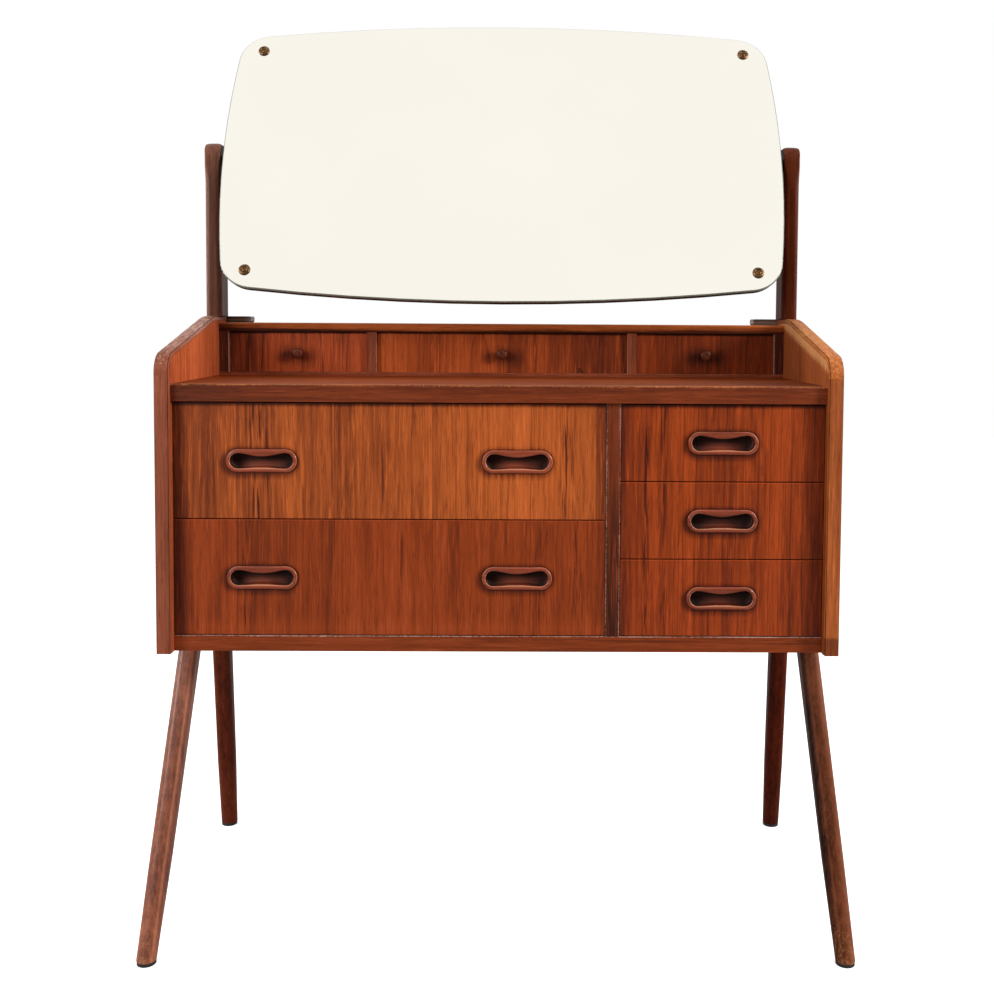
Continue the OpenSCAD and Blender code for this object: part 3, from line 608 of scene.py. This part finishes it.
# The upper fronts have lighter tones than the lower ones, a painted fall of light from above.
veneers = {
    "wide_upper": Veneer(
        21.7, (0.135, -0.227), tone(189, 93, 38), tone(108, 44, 16),
        (Streak(-0.33, 0.022, 0.5), Streak(0.088, 0.014, 0.45), Streak(-0.16, 0.004, 0.3)),
        (Fade("X", -0.25, 0.12, -0.09), Fade("X", 0.06, 0.12, 0.12)),
    ),
    "wide_lower": Veneer(
        34.1, (0.135, -0.362), tone(150, 61, 17), tone(86, 29, 7),
        (
            Streak(-0.354, 0.012, 0.4), Streak(-0.14, 0.006, 0.35), Streak(0.05, 0.01, 0.35),
            Streak(0.11, 0.012, 0.4),
        ),
        (
            Fade("X", -0.437, 0.03, -0.25), Fade("X", -0.35, 0.045, 0.08, 2),
            Fade("X", -0.09, 0.1, 0.1), Fade("Z", 0.455, 0.02, 0.1),
        ),
    ),
    "narrow_top": narrow_veneer,
    "narrow_middle": narrow_veneer,
    "narrow_bottom": narrow_veneer._replace(light=tone(164, 65, 18)),
}
for name in wide_drawers + narrow_drawers:
    seed, leaves, light, dark, streaks, bands = veneers[name]
    low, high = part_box(name + "_front")
    # Painted shade darkens the ends of each front, as shade from the edgings beside it, and its
    # lower edge. At the top, the upper fronts get a painted shadow under the table top, the others
    # a painted highlight on the arris, and all are painted lighter on the faces behind the front
    # face.
    right_shadow_reach = 0.022 if name in wide_drawers else 0.038
    behind = high.y - low.y - 0.0006
    if name in ("wide_upper", "narrow_top"):
        painted_top_light = (Fade("Z", high.z, 0.007, -0.6), Fade("Y", high.y, behind, 0.6, 8))
    else:
        painted_top_light = (Fade("Z", high.z, 0.0018, 0.3), Fade("Y", high.y, behind, 0.35, 8))
    ends = (
        Fade("X", low.x, 0.022, -0.24),
        Fade("X", high.x, right_shadow_reach, -0.3),
        Fade("Z", low.z, 0.0015, -0.1),
    ) + painted_top_light + bands
    z = (low.z + high.z) / 2
    # Painted shade round each pull: a dark line where it meets the front, and a painted shadow
    # below and to the left of it.
    painted_rings = []
    for x in pull_middles(name):
        painted_rings.append(ShadeRing(x, z, span_half, pull_half[1], 0.0018, 0.22))
        below = (x - shadow_shift, z - shadow_shift)
        painted_rings.append(ShadeRing(*below, span_half, pull_half[1], 0.0085, 0.28))
    veneer = teak(
        "teak_" + name, "Z", light, dark, seed, leaves, streaks=streaks, fades=ends, shade_rings=painted_rings
    )
    finish_node(name + "_front", veneer, front_arris, outer=True)
    finish_node(name + "_box", hardwood, 0.0006)
    finish_node(name + "_bottom", thin_ply)


# The small drawers are hardwood boxes with veneered fronts, and slide on the row's base. Painted
# shadows darken their fronts beside the knobs and under the row's top board. The right front's
# darker tones and the darker or lighter ends of the fronts are painted shade and light, and their
# top faces are painted lighter.
small_fronts = (
    ("small_left", 61.5, tone(180, 80, 38), tone(98, 38, 19), Fade("X", -0.435, 0.06, -0.5)),
    ("small_middle", 64.2, tone(174, 78, 30), tone(111, 43, 15), Fade("X", 0.2, 0.12, -0.3)),
    ("small_right", 69.9, tone(132, 50, 10), tone(68, 22, 4), Fade("X", 0.215, 0.05, 0.25)),
)
small_leaves = (0.155, -0.255)
for name, seed, light, dark, end in small_fronts:
    low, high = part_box(name + "_front")
    painted_shadow_under_board = Fade("Z", high.z, 0.004, -0.6)
    painted_top_face_light = Fade("Y", high.y, high.y - low.y - 0.0006, 0.6, 8)
    knob_low, knob_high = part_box(name + "_knob")
    middle = (knob_low + knob_high) / 2
    painted_rings = (
        ShadeRing(middle.x - 0.014, middle.z - 0.003, 0.006, 0.002, 0.018, 0.28),
        ShadeRing(middle.x + 0.014, middle.z - 0.006, 0.006, 0.002, 0.018, 0.22),
    )
    veneer = teak(
        "teak_" + name, "Z", light, dark, seed, small_leaves, figure=1.3,
        fades=(painted_shadow_under_board, painted_top_face_light, end), shade_rings=painted_rings,
    )
    finish_node(name + "_front", veneer, front_arris, outer=True)
    finish_node(name + "_box", hardwood, 0.0006)


# The pulls are carved from solid teak and let into the fronts. The rim stands proud, its lips are
# rounded, and the mouth narrows in the middle, with a deep hollow behind it for the fingers. Each
# copy is modelled from the rim's foot over its crown, in over the lips and back into the hollow.
def pick(piece, test):
    """In edit mode, selects the vertices whose place passes the test, and what they make up."""
    bpy.ops.object.mode_set(mode="OBJECT")
    for part in (piece.data.polygons, piece.data.edges, piece.data.vertices):
        for element in part:
            element.select = False
    for vertex in piece.data.vertices:
        vertex.select = bool(test(vertex.co))
    bpy.ops.object.mode_set(mode="EDIT")
    bpy.ops.mesh.select_mode(type="VERT")


def push(step_y):
    """Extrudes what is selected along Y. The front looks to -Y."""
    bpy.ops.mesh.extrude_region_move(TRANSFORM_OT_translate={"value": (0, step_y, 0)})


def settle(piece, material, levels=0, smooth=35):
    """Ends the modelling of a piece: normals outwards, modifiers applied, smooth shading."""
    alone(piece)
    bpy.ops.object.mode_set(mode="EDIT")
    bpy.ops.mesh.select_all(action="SELECT")
    bpy.ops.mesh.remove_doubles(threshold=0.000002)
    bpy.ops.mesh.normals_make_consistent(inside=False)
    bpy.ops.object.mode_set(mode="OBJECT")
    if levels:
        smoother = piece.modifiers.new("smooth", "SUBSURF")
        smoother.levels = smoother.render_levels = levels
        bpy.ops.object.modifier_apply(modifier="smooth")
    bpy.ops.object.transform_apply(location=True, rotation=True, scale=True)
    bpy.ops.object.shade_smooth_by_angle(angle=math.radians(smooth))
    piece.data.materials.clear()
    piece.data.materials.append(material)


def waist(piece, height, dip, rise):
    """Draws the upper edge of the innermost ring down towards its middle, and the lower one up.

    height: how far the ring stands in front of the drawer."""
    bpy.ops.object.mode_set(mode="OBJECT")
    ring = [v.co.copy() for v in piece.data.vertices if abs(v.co.y + height) < near]
    for level in sorted({round(abs(v.x), 5) for v in ring if abs(v.x) < span_half - near}):
        share = math.cos(math.pi / 2 * level / span_half) ** 1.4
        for side, step in ((1, -dip), (-1, rise)):
            pick(
                piece,
                lambda v: abs(v.y + height) < near
                and abs(abs(v.x) - level) < near
                and v.z * side > 0.002,
            )
            bpy.ops.transform.translate(value=(0, 0, step * share))
    pick(piece, lambda v: abs(v.y + height) < near)


# The pull is painted darker at its foot, as shade where it meets the front.
pull_teak = teak(
    "teak_pull", "X", tone(152, 68, 40), tone(86, 30, 16), 71.4, rough=0.27, figure=0.4, shine=0.4,
    fades=(Fade("Y", -0.178, 0.0022, -0.45),), hollow=True,
)
CrownStep = namedtuple("CrownStep", "inset rise")
LipStep = namedtuple("LipStep", "inset fall dip rise")
HollowStep = namedtuple("HollowStep", "back wider higher")
rim_wall = 0.0018
crown = (
    CrownStep(0.0004, 0.0012), CrownStep(0.0009, 0.0009), CrownStep(0.0013, 0.00045),
    CrownStep(0.0014, 0.00015),
)
lips = (LipStep(0.0009, 0.0004, 0.0036, 0.0010), LipStep(0.0006, 0.0011, 0.0014, 0.0005))
hollow_steps = (
    HollowStep(0.0034, 1, 1), HollowStep(0.0008, 1.02, 1.12), HollowStep(0.0100, 1, 1),
    HollowStep(0.0022, 0.95, 0.8),
)
mouth_lift = 0.0008
plug_depth, plug_wider, plug_higher = 0.0178, 0.956, 0.87
bpy.ops.object.select_all(action="DESELECT")
bpy.ops.mesh.primitive_plane_add(size=2, location=(0, 0, 0), rotation=(math.pi / 2, 0, 0))
pull = bpy.context.object
pull.scale = (pull_half[0], pull_half[1], 1)
bpy.ops.object.transform_apply(location=True, rotation=True, scale=True)
bpy.ops.object.mode_set(mode="EDIT")
bpy.ops.mesh.select_all(action="SELECT")
bpy.ops.mesh.bevel(offset=pull_half[1] * 0.9999, segments=7, affect="VERTICES", profile=0.5)
bpy.ops.mesh.select_all(action="SELECT")
bpy.ops.mesh.remove_doubles(threshold=0.00001)
pick(pull, lambda v: abs(v.x) < span_half + near and abs(v.z) > pull_half[1] - near)
bpy.ops.mesh.subdivide(number_cuts=13)
pick(pull, lambda v: True)
push(-rim_wall)
for inset, rise in crown:
    bpy.ops.mesh.inset(thickness=inset, depth=rise)
lip_height = rim_wall + sum(step.rise for step in crown)
for inset, fall, dip, rise in lips:
    bpy.ops.mesh.inset(thickness=inset, depth=-fall)
    lip_height -= fall
    waist(pull, lip_height, dip, rise)
for back, wider, higher in hollow_steps:
    push(back)
    bpy.ops.transform.resize(value=(wider, 1, higher), center_override=(0, 0, mouth_lift))
pick(pull, lambda v: abs(v.y) < near)
push(0)
bpy.ops.transform.resize(value=(plug_wider, 1, plug_higher), center_override=(0, 0, 0))
push(plug_depth)
bpy.ops.mesh.edge_face_add()
bpy.ops.object.mode_set(mode="OBJECT")
settle(pull, pull_teak, 2)


def climb(value, start, length):
    """Climbs from 0 to 1 over a length from the start."""
    return min(max((value - start) / length, 0), 1)


# Two attributes of the mesh paint light on each pull: painted shade that darkens the hollow, less
# where light falls on its lower middle, and a painted highlight along the crest of the lower and
# left inner lips and of the upper and right outer edge.
hollow_shade = pull.data.attributes.new("hollow", "FLOAT", "POINT")
worn_lip = pull.data.attributes.new("worn_lip", "FLOAT", "POINT")
for vertex in pull.data.vertices:
    v = vertex.co
    from_rim = pull_half[1] - math.hypot(max(abs(v.x) - span_half, 0), v.z)
    deep = climb(v.y, -0.0032, 0.004) * (from_rim > 0.0042) * (v.y < 0.0166)
    lit = climb(-v.z, -0.001, 0.006) * max(1 - (v.x / 0.034) ** 2, 0)
    hollow_shade.data[vertex.index].value = deep * (0.92 - 0.66 * lit)
    if from_rim > 0.0036:
        crest = max(1 - abs(v.y + 0.0037) / 0.0007, 0)
        side = max(climb(-v.z, 0, 0.004), climb(-v.x, 0.028, 0.008))
    else:
        crest = max(1 - abs(v.y + 0.0032) / 0.0006, 0) * 0.6
        side = max(climb(v.x, 0.03, 0.008), climb(v.z, 0.008, 0.006))
    worn_lip.data[vertex.index].value = crest * side * 0.95

for drawer in wide_drawers + narrow_drawers:
    low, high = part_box(drawer + "_front")
    copies = []
    for x in pull_middles(drawer):
        alone(pull)
        bpy.ops.object.duplicate()
        copies.append(bpy.context.object)
        copies[-1].location = (x, low.y, (low.z + high.z) / 2)
    alone(*copies)
    if len(copies) > 1:
        bpy.ops.object.join()
    piece = bpy.context.object
    bpy.ops.object.transform_apply(location=True, rotation=True, scale=True)
    piece.name = ("carved_pulls_" if drawer in wide_drawers else "carved_pull_") + drawer
    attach(piece, drawer + "_drawer")
    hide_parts(pull_node(drawer))
bpy.data.objects.remove(pull)


# The knobs are turned from dark solid teak: a flared foot, a thin neck and a rounded head.
knob_teak = teak("teak_knobs", "Y", tone(104, 48, 28), tone(50, 22, 14), 75.0, rough=0.38)


def turned(start, rings, count=28):
    """Builds a turned form that points to the front, from a disc at its back and ring after ring.

    Each ring is how far it lies in front of the disc, and its radius."""
    bpy.ops.object.select_all(action="DESELECT")
    bpy.ops.mesh.primitive_circle_add(
        vertices=count, radius=start, fill_type="NGON", rotation=(math.pi / 2, 0, 0)
    )
    form = bpy.context.object
    bpy.ops.object.transform_apply(location=True, rotation=True, scale=True)
    bpy.ops.object.mode_set(mode="EDIT")
    bpy.ops.mesh.select_all(action="SELECT")
    place, radius = 0.0, start
    for ahead, wide in rings:
        push(place - ahead)
        grow = wide / radius
        bpy.ops.transform.resize(value=(grow, 1, grow), center_override=(0, -ahead, 0))
        place, radius = ahead, wide
    bpy.ops.mesh.select_all(action="SELECT")
    bpy.ops.mesh.region_to_loop()
    bpy.ops.mesh.edge_face_add()
    bpy.ops.object.mode_set(mode="OBJECT")
    return form


knob_foot_radius = 0.0052
knob_rings = (
    (0.0012, 0.0050), (0.0026, 0.0041), (0.0052, 0.0040), (0.0066, 0.0052), (0.0076, 0.0074),
    (0.0090, 0.0084), (0.0110, 0.0085), (0.0132, 0.0079), (0.0145, 0.0062), (0.0150, 0.0035),
    (0.01485, 0.0012),
)
for drawer in ("small_left", "small_middle", "small_right"):
    low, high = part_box(drawer + "_knob")
    knob = turned(knob_foot_radius, knob_rings)
    knob.location = ((low.x + high.x) / 2, high.y, (low.z + high.z) / 2)
    settle(knob, knob_teak, 2)
    knob.name = "turned_knob_" + drawer
    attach(knob, drawer + "_drawer")
    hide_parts(drawer + "_knob")


# The mirror is silvered glass with a ground edge, on a board with a dark edge. The glass is cut
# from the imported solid, and a narrow bevel is ground all round its front.
hinge = next(joint for joint in frame["joints"] if joint["name"] == "mirror_tilt")
mirror_lean = math.radians(-22)
on_pivot = Matrix.Translation(Vector(hinge["pos_m"])) @ Matrix.Rotation(mirror_lean, 4, "X")
glass_front = 0.025
glass_middle = -0.0045
screw_across, screw_up = 0.392, 0.19575
hole_clear = 0.008
bevel_width = 0.0014

glass, silver = blank_material("silvered_glass")
silver_place = silver.node("TexCoord", out="Object")
cloud = noise(silver_place, scale=3, detail=2, rough_detail=0.5)
haze_stops = [(0.3, (0.93, 0.91, 0.85, 1)), (0.7, (0.96, 0.94, 0.87, 1))]
haze = silver.node("ValToRGB", {"stops": haze_stops}, {"Fac": cloud})
silver_shader = silver.node(
    "BsdfPrincipled", inputs={"Base Color": haze, "Metallic": 1.0, "Roughness": cloud * 0.02 + 0.01}
)
silver.node("OutputMaterial", inputs={"Surface": silver_shader})

ground, frost = blank_material("ground_glass_edge")
frost_place = frost.node("TexCoord", out="Object")
grit = noise(frost_place, scale=900, detail=2, rough_detail=0.5)
edge_stops = [(0.3, tone(96, 108, 100)), (0.7, tone(150, 160, 150))]
edge_tint = frost.node("ValToRGB", {"stops": edge_stops}, {"Fac": grit})
edge_shader = frost.node(
    "BsdfPrincipled", inputs={"Base Color": edge_tint, "Roughness": grit * 0.2 + 0.15}
)
frost.node("OutputMaterial", inputs={"Surface": edge_shader})


def on_rim(v):
    """True for points of the front outline, away from the four screw holes."""
    beside = abs(v.x) > screw_across + hole_clear
    beyond = abs(v.z - glass_middle) > screw_up + hole_clear
    return abs(v.y + glass_front) < near and (beside or beyond)


alone(nodes["mirror_glass"])
bpy.ops.object.duplicate()
sheet_glass = bpy.context.object
sheet_glass.name = "bevelled_mirror_glass"
sheet_glass.parent = None
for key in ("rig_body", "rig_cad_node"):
    if key in sheet_glass:
        del sheet_glass[key]
if sheet_glass.data.has_custom_normals:
    bpy.ops.mesh.customdata_custom_splitnormals_clear()
sheet_glass.data.transform(on_pivot.inverted())
bpy.ops.object.mode_set(mode="EDIT")
bpy.ops.mesh.select_all(action="SELECT")
bpy.ops.mesh.remove_doubles(threshold=0.00001)
bpy.ops.mesh.dissolve_limited(angle_limit=math.radians(0.5))
pick(sheet_glass, on_rim)
bpy.ops.mesh.bevel(offset=bevel_width, segments=1, affect="EDGES")
bpy.ops.object.mode_set(mode="OBJECT")
sheet_glass.data.transform(on_pivot)
settle(sheet_glass, glass, 0, 20)
sheet_glass.data.materials.append(ground)
facing = on_pivot.to_3x3() @ Vector((0, -1, 0))
for face in sheet_glass.data.polygons:
    face.material_index = 0 if face.normal.dot(facing) > 0.99 else 1
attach(sheet_glass, "mirror")
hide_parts("mirror_glass")
dark_board = teak(
    "dark_board", "X", tone(64, 40, 32), tone(26, 16, 14), 81.3, rough=0.6, figure=0.5
)
finish_node("mirror_backing", dark_board, 0.0008)
batten_teak = teak("teak_battens", "Z", tone(130, 70, 44), tone(76, 36, 20), 82.6)
finish_node("mirror_battens", batten_teak, 0.001)


# Four screws hold the glass to its board. Each has a domed, slotted head in a cup washer, of
# bronzed brass that has gone dark, and its slot stands at its own angle.
def metal(name, colour, rough, metallic=1.0):
    """Aged metal with cloudy colour and fine scratches."""
    material, aged = blank_material(name)
    place = aged.node("TexCoord", out="Object")
    cloudy = noise(place, scale=160, detail=4, rough_detail=0.5)
    colours = [(0.3, tuple(0.45 * c for c in colour[:3]) + (1,)), (0.7, colour)]
    base = aged.node("ValToRGB", {"stops": colours}, {"Fac": cloudy})
    bump = aged.node("Bump", inputs={"Strength": 0.15, "Distance": 0.0004, "Height": cloudy})
    shader = aged.node(
        "BsdfPrincipled",
        inputs={
            "Base Color": base,
            "Metallic": metallic,
            "Roughness": cloudy * 0.25 + (rough - 0.12),
            "Normal": bump,
        },
    )
    aged.node("OutputMaterial", inputs={"Surface": shader})
    return material


bronze = metal("bronzed_brass", tone(128, 96, 66), 0.4)
washer_radius = 0.0092
washer_rings = (
    (0.0007, 0.00925), (0.0016, 0.0086), (0.0026, 0.0072), (0.0030, 0.0061), (0.0028, 0.0053),
    (0.0018, 0.0047), (0.0019, 0.0044), (0.0029, 0.0037), (0.0034, 0.0022), (0.0035, 0.0008),
)
slot_size = (0.0072, 0.0022, 0.0011)
slot_ahead = 0.0036
rosettes = []
for x in (-screw_across, screw_across):
    for v in (glass_middle - screw_up, glass_middle + screw_up):
        rosette = turned(washer_radius, washer_rings, 24)
        settle(rosette, bronze, 1)
        bpy.ops.object.select_all(action="DESELECT")
        bpy.ops.mesh.primitive_cube_add(size=1, location=(0, -slot_ahead, 0))
        cutter = bpy.context.object
        cutter.scale = slot_size
        slot_turn = math.radians(38 + 900 * x + 700 * v)
        cutter.rotation_euler = (0, slot_turn, 0)
        bpy.ops.object.transform_apply(location=True, rotation=True, scale=True)
        alone(rosette)
        slot_cut = rosette.modifiers.new("slot", "BOOLEAN")
        slot_cut.operation = "DIFFERENCE"
        slot_cut.solver = "EXACT"
        slot_cut.object = cutter
        bpy.ops.object.modifier_apply(modifier="slot")
        bpy.data.objects.remove(cutter)
        rosette.data.transform(on_pivot @ Matrix.Translation((x, -glass_front, v)))
        rosettes.append(rosette)
alone(*rosettes)
bpy.ops.object.join()
rosettes = bpy.context.object
rosettes.name = "mirror_screws_and_washers"
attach(rosettes, "mirror")
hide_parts("mirror_screws")


# The legs are turned and shaped from solid teak. Wear has paled the feet of the front ones. Their
# tones are painted light and shade: the front left leg is lightest, the rear ones are dark, and the
# front legs have painted highlights and painted shade along their length.
splay = 0.05755
foot_wear = (tone(182, 128, 84), (PalePlace("Z", 0.0, 0.12, 1.2),))
left_leg_painted_light = (
    Fade("Z", 0.1, 0.2, -0.14), Fade("L", -0.4709, 0.0028, 0.42), Fade("L", -0.479, 0.006, -0.06),
)
right_leg_painted_light = (
    Fade("L", 0.496, 0.019, 0.55), Fade("L", 0.4737, 0.003, 0.24), Fade("L", 0.464, 0.011, -0.3),
)
leg_tones = (
    ("leg_front_left", tone(160, 92, 64), tone(94, 46, 30), foot_wear, 0.5, splay, left_leg_painted_light),
    ("leg_front_right", tone(106, 56, 33), tone(43, 16, 8), foot_wear, 0.1, -splay, right_leg_painted_light),
    ("leg_rear_left", tone(110, 44, 21), tone(56, 18, 8), None, 0.1, splay, ()),
    ("leg_rear_right", tone(96, 33, 12), tone(48, 13, 4), None, 0.06, -splay, ()),
)
for name, light, dark, wear, shine, slant, painted_light in leg_tones:
    leg_teak = teak(
        "teak_" + name, "Z", light, dark, 91.1, rough=0.32, figure=0.5, fades=painted_light, wear_and_highlight=wear,
        shine=shine, lean=("X", "Z", slant),
    )
    finish_node(name, leg_teak, 0.0, 40)
finish_node("leg_rails", nodes["leg_rear_left"].data.materials[0], 0.001)


# The posts are of the same solid teak, with rounded heads. They stand on the sides, and small
# dark blocks lie behind their feet.
# The left post has lighter tones than the right one: painted light. Each is painted lighter along
# its outer side, a painted highlight, and is lighter towards its head.
post_tones = (
    ("post_left", tone(114, 70, 53), tone(60, 34, 25), 0.15, 0.3),
    ("post_right", tone(80, 30, 9), tone(40, 11, 3), 0.05, 0.15),
)
for name, light, dark, shine, outer_highlight in post_tones:
    low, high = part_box(name)
    outer_x = low.x if low.x < 0 else high.x
    post_teak = teak(
        "teak_" + name, "Z", light, dark, 93.7, rough=0.36, figure=0.5, shine=shine,
        fades=(Fade("X", outer_x, 0.014, outer_highlight), Fade("Z", high.z, 0.03, 0.25)),
    )
    finish_node(name, post_teak, 0.0, 40)
low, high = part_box("post_blocks")
# Each block is painted darker along its top and has a painted highlight line a little below it.
block_wood = teak(
    "teak_blocks", "X", tone(160, 142, 130), tone(96, 82, 74), 95.2, rough=0.3, shine=0.4,
    fades=(Fade("Z", high.z - 0.001, 0.003, -0.3), Fade("Z", high.z - 0.006, 0.0025, 0.4)),
)
finish_node("post_blocks", block_wood, 0.0006)


# The bolts and spacers of the pivots are blackened steel. The glides are black rubber.
steel = metal("blackened_steel", tone(110, 106, 108), 0.45)
finish_node("pivot_bolts", steel)
finish_node("pivot_spacers", steel)
finish_node("foot_glides", metal("black_rubber", tone(40, 38, 38), 0.75, 0.0), 0.001)
